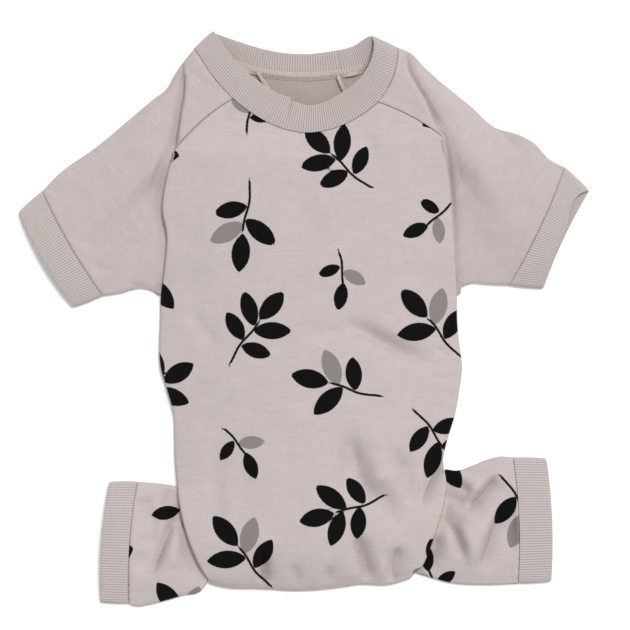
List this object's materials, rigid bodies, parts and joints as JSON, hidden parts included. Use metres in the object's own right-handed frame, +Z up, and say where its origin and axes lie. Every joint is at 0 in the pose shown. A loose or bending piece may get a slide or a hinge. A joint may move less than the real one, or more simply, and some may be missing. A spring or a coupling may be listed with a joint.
{
  "type": "dog jumpsuit",
  "caption": "Jersey jumpsuit for a dog with raglan sleeves, hind legs, ribbed neckband and ribbed cuffs, lying flat with its printed panel up.",
  "frame": {"origin": "middle of the footprint, on the surface that the jumpsuit lies on", "axes": "+Z up out of the printed panel, +Y towards the neck, +X to the right sleeve as seen from above"},
  "size_m": [0.4278, 0.4296, 0.024],
  "materials": {
    "printed_jersey": "matte",
    "plain_jersey": "matte",
    "rib_knit": "matte",
    "seam_allowance": "matte"
  },
  "bodies": {
    "root": {"torso": "printed_jersey", "sleeve_left": "plain_jersey", "sleeve_right": "plain_jersey", "leg_left": "printed_jersey", "leg_right": "printed_jersey", "neckband": "rib_knit", "sleeve_cuff_left": "rib_knit", "sleeve_cuff_right": "rib_knit", "leg_cuff_left": "rib_knit", "leg_cuff_right": "rib_knit", "neck_seam_allowance": "seam_allowance"}
  },
  "joints": []
}
